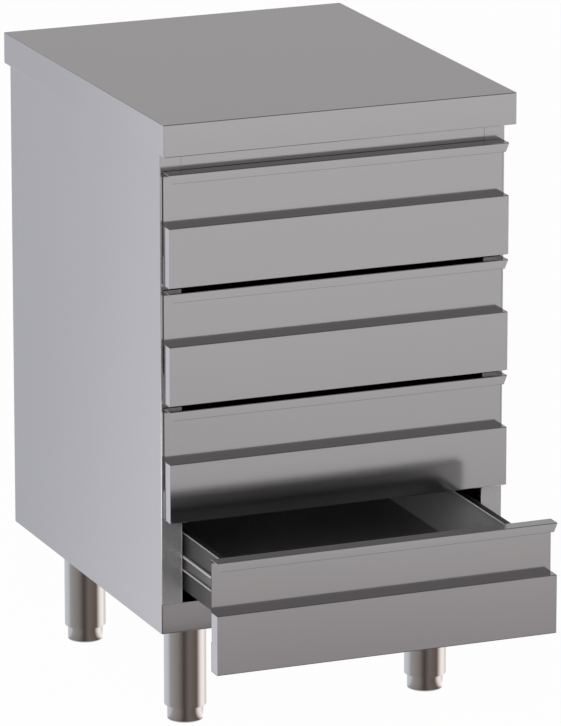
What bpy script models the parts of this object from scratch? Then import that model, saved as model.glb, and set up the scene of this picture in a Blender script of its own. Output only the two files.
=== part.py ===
"""Stainless drawer cabinet: four full-overlay drawers under a folded worktop, on tube legs with screw feet.

Metres, +Z up, the drawers open towards -Y. The lowest drawer stands open, as the cabinet was seen.
The origin is on the floor, under the middle of the whole box, open drawer included.
"""
import math

import bmesh
import bpy

# Overall sizes
WORKTOP_WIDTH = 0.500
WORKTOP_DEPTH = 0.600
TOTAL_HEIGHT = 0.850
BODY_FLOOR_HEIGHT = 0.153

# Sheet metal
SHEET = 0.0012
TRAY_SHEET = 0.0010
BEND_RADIUS = 0.0016
BEND_STEPS = 3
SEAT_GAP = 0.0003
DRILL_REACH = 0.0050

# Worktop
SKIRT_HEIGHT = 0.0435
WORKTOP_RETURN = 0.055
CORE_THICKNESS = 0.018
SIDE_OVERHANG = 0.005
FRONT_OVERHANG = 0.027
BACK_OVERHANG = 0.010

# Carcass
STILE_WIDTH = 0.0295
STILE_RETURN = 0.012
BACK_FLANGE = 0.020
BOTTOM_RAIL_HEIGHT = 0.041
FRONT_RAIL_LAP = 0.005
REAR_RAIL_CLEARANCE = 0.003
TOP_RAIL_FLANGE = 0.025
UPRIGHT_WIDTH = 0.040
UPRIGHT_END_INSET = 0.030

# Drawer fronts
DRAWER_COUNT = 4
FIRST_FRONT_DROP = 0.0245
LAST_FRONT_LAP = 0.0014
FRONT_GAP = 0.0068
FRONT_SIDE_INSET = 0.0035
FRONT_STANDOFF = 0.00115
LIP_DEPTH = 0.0208
LIP_FLAP_HEIGHT = 0.0123
LIP_END_TAPER = 0.0048
LIP_TO_STEP = 0.0717
FRONT_BACK_FLANGE = 0.040

# Drawer trays
TRAY_DROP = 0.018
TRAY_RAIL_CLEARANCE = 0.013
TRAY_RIM = 0.010
TRAY_BACK_CLEARANCE = 0.040

# Drawer slides
SLIDE_SHEET = 0.0012
SLIDE_THICKNESS = 0.0127
SLIDE_HEIGHT = 0.035
SLIDE_INNER_HEIGHT = 0.021
SLIDE_INNER_DEPTH = 0.0042
SLIDE_STILE_CLEARANCE = 0.0015
SLIDE_TRAY_CLEARANCE = 0.0015
SLIDE_START_GAP = 0.003
CAGE_WEB = 0.0010
DRAWER_TRAVEL = 0.360
REST_OPENING = 0.165

# Legs and feet
LEG_RADIUS = 0.0285
LEG_WALL = 0.0015
LEG_PLATE_THICKNESS = 0.006
LEG_INSET_SIDE = 0.0695
LEG_INSET_FRONT = 0.094
LEG_INSET_BACK = 0.090
LEG_BUSH_LENGTH = 0.030
FOOT_HEIGHT = 0.0208
FOOT_RADIUS = 0.0243
FOOT_CHAMFER = 0.0025
STEM_RADIUS = 0.012
STEM_LENGTH = 0.060
ROUND_STEPS = 24
SMOOTH_ANGLE = math.radians(35)

# Fasteners: shank radius, head radius, head height
WORKTOP_SCREW = (0.0025, 0.0045, 0.0030)
LEG_BOLT = (0.0050, 0.0085, 0.0064)
SCREW_POINT = 0.006
SCREW_STEPS = 12
HOLE_STEPS = 16
WORKTOP_SCREW_SPREAD = 0.300

# Finishes: colour, roughness, metallic
STEEL = ((0.62, 0.62, 0.63, 1.0), 0.28, 1.0)
DARK_STEEL = ((0.45, 0.45, 0.46, 1.0), 0.35, 1.0)
ZINC = ((0.55, 0.56, 0.58, 1.0), 0.40, 1.0)
BOARD = ((0.42, 0.30, 0.18, 1.0), 0.80, 0.0)

# Carcass planes
BODY_HALF_WIDTH = WORKTOP_WIDTH / 2 - SIDE_OVERHANG
BODY_FRONT = -WORKTOP_DEPTH / 2 + FRONT_OVERHANG
BODY_BACK = WORKTOP_DEPTH / 2 - BACK_OVERHANG
SKIRT_BOTTOM = TOTAL_HEIGHT - SKIRT_HEIGHT
BODY_TOP = SKIRT_BOTTOM - SEAT_GAP
BODY_BOTTOM = BODY_FLOOR_HEIGHT
SIDE_INNER = BODY_HALF_WIDTH - SHEET - SEAT_GAP
OPENING_HALF_WIDTH = BODY_HALF_WIDTH - STILE_WIDTH
BACK_PANEL_OUTER = BODY_BACK - SHEET - SEAT_GAP
BACK_PANEL_INNER = BACK_PANEL_OUTER - SHEET
BASE_TOP = BODY_BOTTOM + SHEET
RAIL_TOP = BODY_BOTTOM + BOTTOM_RAIL_HEIGHT

# Drawer planes: y from the front face of the recessed panel, z from the top of the lip
FRONT_FACE = BODY_FRONT - FRONT_STANDOFF - SHEET
FIRST_FRONT_TOP = SKIRT_BOTTOM - FIRST_FRONT_DROP
FRONT_RAIL_BOTTOM = FIRST_FRONT_TOP - FRONT_RAIL_LAP
REAR_RAIL_BOTTOM = FIRST_FRONT_TOP + REAR_RAIL_CLEARANCE
STACK_HEIGHT = FIRST_FRONT_TOP - BODY_BOTTOM + LAST_FRONT_LAP
FRONT_HEIGHT = (STACK_HEIGHT - FRONT_GAP * (DRAWER_COUNT - 1)) / DRAWER_COUNT
FRONT_PITCH = FRONT_HEIGHT + FRONT_GAP
FRONT_HALF_WIDTH = BODY_HALF_WIDTH - FRONT_SIDE_INSET
TRAY_HEIGHT = FRONT_HEIGHT - LAST_FRONT_LAP - TRAY_DROP - BOTTOM_RAIL_HEIGHT - TRAY_RAIL_CLEARANCE
TRAY_HALF_WIDTH = OPENING_HALF_WIDTH - SLIDE_STILE_CLEARANCE - SLIDE_INNER_DEPTH - SEAT_GAP
TRAY_FRONT = SHEET + SEAT_GAP
TRAY_BACK = BACK_PANEL_INNER - TRAY_BACK_CLEARANCE - FRONT_FACE
TRAY_BOTTOM = -TRAY_DROP - TRAY_HEIGHT
SLIDE_MIDDLE = -TRAY_DROP - TRAY_HEIGHT / 2
UPRIGHT_FACE = TRAY_HALF_WIDTH + SLIDE_THICKNESS + SEAT_GAP
SLIDE_FRONT = BODY_FRONT + STILE_RETURN + SLIDE_START_GAP
SLIDE_BACK = FRONT_FACE + TRAY_BACK
CAGE_LENGTH = SLIDE_BACK - SLIDE_FRONT - DRAWER_TRAVEL
CAGE_FRONT = SLIDE_FRONT + DRAWER_TRAVEL / 2

# Leg and foot heights
PLATE_TOP = BODY_BOTTOM - SEAT_GAP
PLATE_BOTTOM = PLATE_TOP - LEG_PLATE_THICKNESS
LEG_BOTTOM = FOOT_HEIGHT + SEAT_GAP

# The origin lies under the middle of the whole box, from the open drawer's face to the worktop's back
FRONT_MOST = FRONT_FACE - LIP_DEPTH - REST_OPENING
ORIGIN_SHIFT = -(FRONT_MOST + WORKTOP_DEPTH / 2) / 2

SIDES = (("left", -1), ("right", 1))


def clear_scene():
    for old in list(bpy.data.objects):
        bpy.data.objects.remove(old, do_unlink=True)


def finish_of(name, finish):
    """A Principled material of its own for one piece."""
    colour, roughness, metallic = finish
    material = bpy.data.materials.new(name)
    material.use_nodes = True
    shader = material.node_tree.nodes["Principled BSDF"]
    shader.inputs["Base Color"].default_value = colour
    shader.inputs["Roughness"].default_value = roughness
    shader.inputs["Metallic"].default_value = metallic
    return material


def empty(name, parent=None, location=(0.0, 0.0, 0.0)):
    holder = bpy.data.objects.new(name, None)
    holder.parent = parent
    holder.location = location
    bpy.context.scene.collection.objects.link(holder)
    return holder


def piece(name, shape, parent, finish, smooth=False):
    """Turn a bmesh into a named object under its parent."""
    bmesh.ops.recalc_face_normals(shape, faces=shape.faces)
    mesh = bpy.data.meshes.new(name)
    shape.to_mesh(mesh)
    shape.free()
    if smooth:
        mesh.shade_smooth()
        mesh.set_sharp_from_angle(angle=SMOOTH_ANGLE)
    mesh.materials.append(finish_of(name, finish))
    made = bpy.data.objects.new(name, mesh)
    made.parent = parent
    bpy.context.scene.collection.objects.link(made)
    return made


def in_space(along, distance, first, second):
    """Place a profile point: the profile's two axes follow X, Y, Z order without the one it runs along."""
    if along == "X":
        return (distance, first, second)
    if along == "Y":
        return (first, distance, second)
    return (first, second, distance)


def rounded(corners, radius):
    """Replace each inner corner of an open path by an arc."""
    path = [corners[0]]
    for before, corner, after in zip(corners, corners[1:], corners[2:]):
        to_before = math.atan2(before[1] - corner[1], before[0] - corner[0])
        to_after = math.atan2(after[1] - corner[1], after[0] - corner[0])
        opening = (to_after - to_before + math.pi) % math.tau - math.pi
        half = abs(opening) / 2
        reach = radius / math.sin(half)
        middle = to_before + opening / 2
        centre = (corner[0] + reach * math.cos(middle), corner[1] + reach * math.sin(middle))
        sweep = math.copysign(math.pi - 2 * half, -opening)
        start = to_before - math.copysign(math.pi / 2, opening)
        for step in range(BEND_STEPS + 1):
            angle = start + sweep * (step / BEND_STEPS)
            path.append((centre[0] + radius * math.cos(angle), centre[1] + radius * math.sin(angle)))
    path.append(corners[-1])
    return path


def offset_pairs(path, thickness):
    """The two faces of a sheet whose middle follows the path, point by point."""
    pairs = []
    for index, point in enumerate(path):
        normals = []
        for a, b in ((index - 1, index), (index, index + 1)):
            if a < 0 or b >= len(path):
                continue
            run = (path[b][0] - path[a][0], path[b][1] - path[a][1])
            length = math.hypot(*run)
            normals.append((-run[1] / length, run[0] / length))
        mean = (sum(n[0] for n in normals) / len(normals), sum(n[1] for n in normals) / len(normals))
        size = mean[0] ** 2 + mean[1] ** 2
        shift = (mean[0] / size * thickness / 2, mean[1] / size * thickness / 2)
        pairs.append(((point[0] + shift[0], point[1] + shift[1]),
                      (point[0] - shift[0], point[1] - shift[1])))
    return pairs


def add_folded_sheet(shape, path, thickness, along, start, end):
    """Add a folded sheet: the path is the middle of the metal, seen along one axis."""
    rows = []
    for left, right in offset_pairs(path, thickness):
        spots = (in_space(along, start, *left), in_space(along, end, *left),
                 in_space(along, end, *right), in_space(along, start, *right))
        rows.append([shape.verts.new(spot) for spot in spots])
    for row, following in zip(rows, rows[1:]):
        for side in range(4):
            after = (side + 1) % 4
            shape.faces.new((row[side], row[after], following[after], following[side]))
    shape.faces.new(rows[0])
    shape.faces.new(rows[-1])


def folded_sheet(path, thickness, along, start, end):
    shape = bmesh.new()
    add_folded_sheet(shape, path, thickness, along, start, end)
    return shape


def add_prism(shape, outline, along, start, end):
    """Add a solid of one outline, extruded along an axis."""
    face = shape.faces.new([shape.verts.new(in_space(along, start, *point)) for point in outline])
    grown = bmesh.ops.extrude_face_region(shape, geom=[face])["geom"]
    moved = [part for part in grown if isinstance(part, bmesh.types.BMVert)]
    bmesh.ops.translate(shape, verts=moved, vec=in_space(along, end - start, 0.0, 0.0))
    shape.faces.ensure_lookup_table()
    ends = [one for one in shape.faces if len(one.verts) > 4]
    if ends:
        bmesh.ops.triangulate(shape, faces=ends, ngon_method="EAR_CLIP")


def add_box(shape, low, high):
    outline = [(low[0], low[1]), (high[0], low[1]), (high[0], high[1]), (low[0], high[1])]
    add_prism(shape, outline, "Z", low[2], high[2])


def box(low, high):
    shape = bmesh.new()
    add_box(shape, low, high)
    return shape


def folded_pan(rings):
    """A pan folded from one blank: rectangles (x0, x1, y0, y1, z) joined in turn, closed at both ends."""
    shape = bmesh.new()
    rows = []
    for x0, x1, y0, y1, z in rings:
        corners = ((x0, y0, z), (x1, y0, z), (x1, y1, z), (x0, y1, z))
        rows.append([shape.verts.new(corner) for corner in corners])
    for row, following in zip(rows, rows[1:]):
        for side in range(4):
            after = (side + 1) % 4
            shape.faces.new((row[side], row[after], following[after], following[side]))
    shape.faces.new(rows[0])
    shape.faces.new(rows[-1])
    return shape


def pan_rings(x0, x1, y0, y1, closed_z, open_z, thickness, rim):
    """Rings of a pan whose flat side is at closed_z and whose rim turns inwards at open_z."""
    inward = math.copysign(thickness, open_z - closed_z)
    wall = thickness
    return [
        (x0, x1, y0, y1, closed_z),
        (x0, x1, y0, y1, open_z),
        (x0 + rim, x1 - rim, y0 + rim, y1 - rim, open_z),
        (x0 + rim, x1 - rim, y0 + rim, y1 - rim, open_z - inward),
        (x0 + wall, x1 - wall, y0 + wall, y1 - wall, open_z - inward),
        (x0 + wall, x1 - wall, y0 + wall, y1 - wall, closed_z + inward),
    ]


def turned(profile, closed):
    """Turn (radius, height) points about Z. A closed profile makes a ring, an open one ends on the axis."""
    shape = bmesh.new()
    add_turned(shape, profile, ROUND_STEPS, closed, (0.0, 0.0, 0.0), 1.0)
    return shape


def add_turned(shape, profile, steps, closed, centre, direction):
    """Add a turned solid at a centre, its height running up or down."""
    rows = []
    for radius, height in profile:
        row = []
        for step in range(steps if radius > 0.0 else 1):
            angle = math.tau * step / steps
            row.append(shape.verts.new((centre[0] + radius * math.cos(angle),
                                        centre[1] + radius * math.sin(angle),
                                        centre[2] + height * direction)))
        rows.append(row)
    joins = list(zip(rows, rows[1:]))
    if closed:
        joins.append((rows[-1], rows[0]))
    for row, following in joins:
        for step in range(steps):
            after = (step + 1) % steps
            corners = [row[step % len(row)], row[after % len(row)],
                       following[after % len(following)], following[step % len(following)]]
            shape.faces.new(list(dict.fromkeys(corners)))


def screw(spot, size, grip, direction):
    """A screw with its head seat at a spot; the shank points up or down through what it grips."""
    shank, head, head_height = size
    profile = [(0.0, -head_height), (head, -head_height), (head, 0.0),
               (shank, 0.0), (shank, grip), (0.0, grip)]
    shape = bmesh.new()
    add_turned(shape, profile, SCREW_STEPS, False, spot, direction)
    return shape


def drill(target, spots, size):
    """Bore upright clearance holes for screws of one size through a piece."""
    radius = (size[0] + SEAT_GAP) / math.cos(math.pi / HOLE_STEPS)
    profile = [(0.0, -DRILL_REACH), (radius, -DRILL_REACH), (radius, DRILL_REACH), (0.0, DRILL_REACH)]
    shape = bmesh.new()
    for spot in spots:
        add_turned(shape, profile, HOLE_STEPS, False, spot, 1.0)
    join_shape(target, shape, "holes", "DIFFERENCE")


def join_shape(target, shape, label, operation):
    """Cut a closed shape out of a piece, or weld it on."""
    bmesh.ops.recalc_face_normals(shape, faces=shape.faces)
    mesh = bpy.data.meshes.new(target.name + "." + label)
    shape.to_mesh(mesh)
    shape.free()
    tool = bpy.data.objects.new(mesh.name, mesh)
    tool.parent = target.parent
    tool.hide_render = True
    tool.display_type = "WIRE"
    bpy.context.scene.collection.objects.link(tool)
    step = target.modifiers.new(label, "BOOLEAN")
    step.operation = operation
    step.solver = "EXACT"
    step.object = tool


def top_rails():
    """Each top rail's name, where its face stands, which way its flanges point and its lower edge."""
    return (("front_top_rail", BODY_FRONT, 1.0, FRONT_RAIL_BOTTOM),
            ("rear_top_rail", BACK_PANEL_INNER - SEAT_GAP, -1.0, REAR_RAIL_BOTTOM))


def rail_screw_spots(face, inward):
    """Head seats under the top flange of one rail."""
    y = face + inward * TOP_RAIL_FLANGE / 2
    seat = BODY_TOP - SHEET - SEAT_GAP
    return [(side * WORKTOP_SCREW_SPREAD / 2, y, seat) for _, side in SIDES]


def worktop_screw_spots():
    return [spot for _, face, inward, _ in top_rails() for spot in rail_screw_spots(face, inward)]


def make_worktop(root):
    half_width = WORKTOP_WIDTH / 2
    half_depth = WORKTOP_DEPTH / 2
    rings = pan_rings(-half_width, half_width, -half_depth, half_depth,
                      TOTAL_HEIGHT, SKIRT_BOTTOM, SHEET, WORKTOP_RETURN)
    worktop = piece("worktop", folded_pan(rings), root, STEEL)
    drill(worktop, worktop_screw_spots(), WORKTOP_SCREW)

    inset = SHEET + SEAT_GAP
    top = TOTAL_HEIGHT - inset
    low = (inset - half_width, inset - half_depth, top - CORE_THICKNESS)
    high = (half_width - inset, half_depth - inset, top)
    piece("worktop_core", box(low, high), root, BOARD)

    grip = SHEET * 2 + SEAT_GAP * 2 + SCREW_POINT
    for number, spot in enumerate(worktop_screw_spots(), 1):
        name = "worktop_screw_" + str(number)
        piece(name, screw(spot, WORKTOP_SCREW, grip, 1.0), root, ZINC, smooth=True)


def make_side_panel(root, name, side):
    """One folded sheet: stile with its return at the front, plain side, flange for the back panel."""
    middle = SHEET / 2
    outer = BODY_HALF_WIDTH - middle
    stile = OPENING_HALF_WIDTH + middle
    front = BODY_FRONT + middle
    back = BODY_BACK - middle
    corners = [(stile, BODY_FRONT + STILE_RETURN), (stile, front), (outer, front),
               (outer, back), (BODY_HALF_WIDTH - BACK_FLANGE, back)]
    path = [(side * x, y) for x, y in rounded(corners, BEND_RADIUS)]
    shape = folded_sheet(path, SHEET, "Z", BODY_BOTTOM, BODY_TOP)
    panel = piece("side_panel_" + name, shape, root, STEEL)

    # The stile stops above the bottom rail, which runs from one plain side to the other
    margin = STILE_RETURN
    across = sorted((side * SIDE_INNER + side * SEAT_GAP, side * (OPENING_HALF_WIDTH - margin)))
    low = (across[0], BODY_FRONT - margin, BODY_BOTTOM - margin)
    high = (across[1], BODY_FRONT + STILE_RETURN + margin, RAIL_TOP + SEAT_GAP)
    join_shape(panel, box(low, high), "rail_notch", "DIFFERENCE")


def make_base(root):
    """Base pan: the bottom rail, the floor sheet and a rear upstand in one fold."""
    middle = SHEET / 2
    front = BODY_FRONT + middle
    back = BACK_PANEL_INNER - SEAT_GAP - middle
    floor = BODY_BOTTOM + middle
    corners = [(front, RAIL_TOP), (front, floor), (back, floor), (back, RAIL_TOP)]
    shape = folded_sheet(rounded(corners, BEND_RADIUS), SHEET, "X", -SIDE_INNER, SIDE_INNER)
    base = piece("base_pan", shape, root, STEEL)
    drill(base, [(x, y, floor) for _, x, y in leg_places()], LEG_BOLT)


def make_back_panel(root):
    """Plain sheet inside the side panels' back flanges, clear of their bends."""
    reach = SIDE_INNER - BEND_RADIUS
    low = (-reach, BACK_PANEL_INNER, BODY_BOTTOM)
    high = (reach, BACK_PANEL_OUTER, BODY_TOP)
    piece("back_panel", box(low, high), root, STEEL)


def make_top_rails(root):
    """Channels across the top that carry the worktop, one behind the skirt and one at the back."""
    middle = SHEET / 2
    top = BODY_TOP - middle
    reach = OPENING_HALF_WIDTH - SEAT_GAP
    for name, face, inward, lower in top_rails():
        bottom = lower + middle
        web = face + inward * middle
        lip = face + inward * TOP_RAIL_FLANGE
        corners = [(lip, top), (web, top), (web, bottom), (lip, bottom)]
        shape = folded_sheet(rounded(corners, BEND_RADIUS), SHEET, "X", -reach, reach)
        rail = piece(name, shape, root, STEEL)
        drill(rail, rail_screw_spots(face, inward), WORKTOP_SCREW)


def make_slide_uprights(root, name, side):
    """Channels on the side panel that carry the cabinet members of the slides."""
    middle = SHEET / 2
    face = UPRIGHT_FACE + middle
    ends = (("front", SLIDE_FRONT + UPRIGHT_END_INSET),
            ("rear", SLIDE_BACK - UPRIGHT_END_INSET - UPRIGHT_WIDTH))
    for place, start in ends:
        near = start + middle
        far = start + UPRIGHT_WIDTH - middle
        corners = [(SIDE_INNER, near), (face, near), (face, far), (SIDE_INNER, far)]
        path = [(side * x, y) for x, y in rounded(corners, BEND_RADIUS)]
        shape = folded_sheet(path, SHEET, "Z", BASE_TOP + SEAT_GAP, BODY_TOP)
        piece("slide_upright_" + place + "_" + name, shape, root, STEEL)


def leg_places():
    """Names and axes of the four legs."""
    x = BODY_HALF_WIDTH - LEG_INSET_SIDE
    rows = (("front", BODY_FRONT + LEG_INSET_FRONT), ("back", BODY_BACK - LEG_INSET_BACK))
    return [(row + "_" + name, side * x, y) for row, y in rows for name, side in SIDES]


def make_legs(root):
    """Tube legs bolted to the base pan, each with a foot on a stem in the bush at its lower end."""
    bore = STEM_RADIUS + SEAT_GAP
    inside = LEG_RADIUS - LEG_WALL
    bush_top = LEG_BOTTOM + LEG_BUSH_LENGTH
    bolt_hole = LEG_BOLT[0] + SEAT_GAP
    leg_profile = [(bore, LEG_BOTTOM), (LEG_RADIUS, LEG_BOTTOM), (LEG_RADIUS, PLATE_TOP),
                   (bolt_hole, PLATE_TOP), (bolt_hole, PLATE_BOTTOM), (inside, PLATE_BOTTOM),
                   (inside, bush_top), (bore, bush_top)]
    foot_profile = [(0.0, 0.0), (FOOT_RADIUS - FOOT_CHAMFER, 0.0), (FOOT_RADIUS, FOOT_CHAMFER),
                    (FOOT_RADIUS, FOOT_HEIGHT), (STEM_RADIUS, FOOT_HEIGHT),
                    (STEM_RADIUS, FOOT_HEIGHT + STEM_LENGTH), (0.0, FOOT_HEIGHT + STEM_LENGTH)]
    grip = SEAT_GAP * 2 + SHEET + LEG_PLATE_THICKNESS + SCREW_POINT
    seat = (0.0, 0.0, BASE_TOP + SEAT_GAP)
    for name, x, y in leg_places():
        axis = empty("leg_axis_" + name, root, (x, y, 0.0))
        piece("leg_" + name, turned(leg_profile, True), axis, STEEL, smooth=True)
        piece("foot_" + name, turned(foot_profile, False), axis, STEEL, smooth=True)
        piece("leg_bolt_" + name, screw(seat, LEG_BOLT, grip, -1.0), axis, ZINC, smooth=True)


def front_path():
    """Middle of the front's metal, from the lip's free edge to the flange behind the step."""
    middle = SHEET / 2
    face = -LIP_DEPTH + middle
    bottom = -FRONT_HEIGHT + middle
    corners = [(face, -LIP_FLAP_HEIGHT), (face, -middle), (middle, -middle),
               (middle, -LIP_TO_STEP - middle), (face, -LIP_TO_STEP - middle),
               (face, bottom), (middle, bottom), (middle, bottom + FRONT_BACK_FLANGE)]
    return rounded(corners, BEND_RADIUS)


def taper_lip(shape):
    """Cut the ends of the lip's flap at a slant, so that its free edge is shorter than its fold."""
    for corner in shape.verts:
        if corner.co.y < -LIP_DEPTH / 2 and abs(corner.co.z + LIP_FLAP_HEIGHT) < SEAT_GAP:
            corner.co.x -= math.copysign(LIP_END_TAPER, corner.co.x)


def make_front(holder, number):
    """Folded front with its pull lip; welded plates close the two ends of the step."""
    shape = folded_sheet(front_path(), SHEET, "X", -FRONT_HALF_WIDTH, FRONT_HALF_WIDTH)
    taper_lip(shape)
    front = piece("drawer_front_" + number, shape, holder, STEEL)

    # Each plate is let into the middle of the metal around it and set just inside the sheet's edge
    middle = SHEET / 2
    outline_low = (middle - LIP_DEPTH, middle - FRONT_HEIGHT)
    outline_high = (middle, -LIP_TO_STEP - middle)
    plates = bmesh.new()
    for _, side in SIDES:
        reach = sorted((side * (FRONT_HALF_WIDTH - SEAT_GAP - SHEET), side * (FRONT_HALF_WIDTH - SEAT_GAP)))
        add_box(plates, (reach[0], *outline_low), (reach[1], *outline_high))
    join_shape(front, plates, "end_plates", "UNION")


def make_tray(holder, number):
    """Folded pan with a rim, spot-welded to the back of the front."""
    rings = pan_rings(-TRAY_HALF_WIDTH, TRAY_HALF_WIDTH, TRAY_FRONT, TRAY_BACK,
                      TRAY_BOTTOM, -TRAY_DROP, TRAY_SHEET, TRAY_RIM)
    piece("drawer_tray_" + number, folded_pan(rings), holder, STEEL)


def channel_path(web, lip, height, side):
    """Middle of a slide member: a channel on its side, from flange end to flange end."""
    middle = SLIDE_SHEET / 2
    edge = height / 2 - middle
    corners = [(lip, edge), (web, edge), (web, -edge), (lip, -edge)]
    return [(side * x, SLIDE_MIDDLE + z) for x, z in corners]


def make_slides(root, holder, cage_holder, number):
    """Ball-bearing slides: cabinet member, drawer member and the ball cage that rolls between them."""
    middle = SLIDE_SHEET / 2
    drawer_web = TRAY_HALF_WIDTH + SEAT_GAP
    drawer_lip = drawer_web + SLIDE_INNER_DEPTH
    cabinet_web = TRAY_HALF_WIDTH + SLIDE_THICKNESS
    cabinet_lip = TRAY_HALF_WIDTH + SLIDE_TRAY_CLEARANCE
    start = SLIDE_FRONT - FRONT_FACE
    end = SLIDE_BACK - FRONT_FACE
    for name, side in SIDES:
        path = channel_path(drawer_web + middle, drawer_lip, SLIDE_INNER_HEIGHT, side)
        shape = folded_sheet(path, SLIDE_SHEET, "Y", start, end)
        piece("slide_inner_" + name + "_" + number, shape, holder, DARK_STEEL)

        path = channel_path(cabinet_web - middle, cabinet_lip, SLIDE_HEIGHT, side)
        shape = folded_sheet(path, SLIDE_SHEET, "Y", start, end)
        piece("slide_outer_" + name + "_" + number, shape, root, DARK_STEEL)

        # The cage fills the two ball tracks, above and below the drawer member, and a web joins them
        back = drawer_lip + SEAT_GAP + CAGE_WEB
        low = SLIDE_INNER_HEIGHT / 2 + SEAT_GAP
        high = SLIDE_HEIGHT / 2 - SLIDE_SHEET - SEAT_GAP
        inner = drawer_web + SLIDE_SHEET
        half = [(inner, low), (drawer_lip + SEAT_GAP, low)]
        outline = [(back, -high), (back, high), (inner, high)] + half
        outline += [(x, -z) for x, z in reversed(half)] + [(inner, -high)]
        placed = [(side * x, SLIDE_MIDDLE + z) for x, z in outline]
        cage_start = CAGE_FRONT - FRONT_FACE
        shape = bmesh.new()
        add_prism(shape, placed, "Y", cage_start, cage_start + CAGE_LENGTH)
        piece("ball_cage_" + name + "_" + number, shape, cage_holder, ZINC)


def make_drawer(root, index):
    """One drawer on its slides; the lowest one is drawn out by its rest opening."""
    number = str(index + 1)
    opening = REST_OPENING if index == DRAWER_COUNT - 1 else 0.0
    top = FIRST_FRONT_TOP - FRONT_PITCH * index
    fixed = empty("drawer_place_" + number, root, (0.0, FRONT_FACE, top))
    holder = empty("drawer_slide_" + number, fixed, (0.0, -opening, 0.0))
    cage_holder = empty("cage_slide_" + number, fixed, (0.0, -opening / 2, 0.0))
    make_front(holder, number)
    make_tray(holder, number)
    make_slides(fixed, holder, cage_holder, number)


def main():
    clear_scene()
    root = empty("cabinet", None, (0.0, ORIGIN_SHIFT, 0.0))
    make_worktop(root)
    make_base(root)
    make_back_panel(root)
    make_top_rails(root)
    for name, side in SIDES:
        make_side_panel(root, name, side)
        make_slide_uprights(root, name, side)
    make_legs(root)
    for index in range(DRAWER_COUNT):
        make_drawer(root, index)
    bpy.context.view_layer.update()


main()
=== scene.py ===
# %% [markdown]
# # A stainless drawer cabinet
# This lesson dresses a packed assembly: the CAD nodes give the place and the size of every piece,
# and each step below replaces a plain node by a folded, rounded and finished one.
# The cabinet is sheet-metal work: a worktop, two folded sides, four drawers with folded pull lips,
# and four polished tube legs on screw feet. Distances are metres, +Z is up, drawers open to -Y.

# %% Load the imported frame
import math

import bmesh
import bpy
from mathutils import Matrix, Vector


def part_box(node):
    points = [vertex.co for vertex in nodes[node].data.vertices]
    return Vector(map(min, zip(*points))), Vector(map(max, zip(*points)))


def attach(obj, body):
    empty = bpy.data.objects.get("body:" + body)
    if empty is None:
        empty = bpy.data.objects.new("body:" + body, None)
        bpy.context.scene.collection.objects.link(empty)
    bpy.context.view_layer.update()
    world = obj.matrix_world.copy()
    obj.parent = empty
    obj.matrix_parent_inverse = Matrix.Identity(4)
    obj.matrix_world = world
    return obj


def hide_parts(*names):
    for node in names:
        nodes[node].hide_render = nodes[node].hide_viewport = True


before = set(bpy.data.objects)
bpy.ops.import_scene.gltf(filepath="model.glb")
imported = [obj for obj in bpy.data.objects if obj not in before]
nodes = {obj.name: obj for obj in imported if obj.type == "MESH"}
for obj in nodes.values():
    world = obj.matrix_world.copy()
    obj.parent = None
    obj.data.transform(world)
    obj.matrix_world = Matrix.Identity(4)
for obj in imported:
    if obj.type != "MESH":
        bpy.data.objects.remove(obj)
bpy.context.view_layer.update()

# %% [markdown]
# ## Working as by hand
# Blender's operators act on whatever is selected, and a fresh import leaves everything selected.
# So every piece starts from an empty selection, and faces or edges are picked by where they lie.
# These few helpers stand for the clicks: clear the selection, select one piece, pick some of its parts.

# %% Selection helpers
FACING = 0.9  # a face looks along an axis when that part of its normal is larger
LEANING = 0.3  # and leans that way when it is larger than this
TOUCH = 0.00005  # two places closer than this are the same


def clear_selection():
    """Back to object mode with nothing selected."""
    if bpy.context.mode != "OBJECT":
        bpy.ops.object.mode_set(mode="OBJECT")
    bpy.ops.object.select_all(action="DESELECT")


def work_on(piece):
    """Select one piece alone and make it active."""
    clear_selection()
    piece.select_set(True)
    bpy.context.view_layer.objects.active = piece


def pick(piece, kind, wanted):
    """In edit mode, select the VERT, EDGE or FACE parts that a test on (part, middle) wants."""
    bpy.ops.mesh.select_mode(type=kind)
    bpy.ops.mesh.select_all(action="DESELECT")
    shape = bmesh.from_edit_mesh(piece.data)
    parts = {"VERT": shape.verts, "EDGE": shape.edges, "FACE": shape.faces}[kind]
    for part in parts:
        corners = [part] if kind == "VERT" else list(part.verts)
        middle = sum((corner.co for corner in corners), Vector()) / len(corners)
        if wanted(part, middle):
            part.select_set(True)
    shape.select_flush_mode()
    bmesh.update_edit_mesh(piece.data)


print("selection helpers ready")

# %% [markdown]
# The same few moves come back on every piece: a primitive is placed, something is extruded, a modifier
# is applied, the piece is shaded smooth, or several pieces are joined.

# %% Modelling helpers
SMOOTH_ANGLE = math.radians(40)


def place_new(name, size=None):
    """Name the primitive that was just added, size it and put its place into its mesh."""
    piece = bpy.context.object
    piece.name = name
    if size is not None:
        piece.dimensions = size
    bpy.ops.object.transform_apply(location=True, rotation=True, scale=True)
    return piece


def extrude(move):
    """Pull new edges or faces out of the selected ones."""
    bpy.ops.mesh.extrude_region_move(TRANSFORM_OT_translate={"value": move})


def apply_modifier(piece, kind, **settings):
    """Add one modifier, set it and apply it."""
    work_on(piece)
    step = piece.modifiers.new(kind.lower(), kind)
    for name, value in settings.items():
        setattr(step, name, value)
    bpy.ops.object.modifier_apply(modifier=step.name)


def smooth(piece):
    """Shade a piece smooth, except where its faces meet sharply."""
    work_on(piece)
    bpy.ops.object.shade_smooth_by_angle(angle=SMOOTH_ANGLE)


def join_to(piece, others):
    """Make the others part of one piece."""
    work_on(piece)
    for other in others:
        other.select_set(True)
    bpy.ops.object.join()


print("modelling helpers ready")

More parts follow.
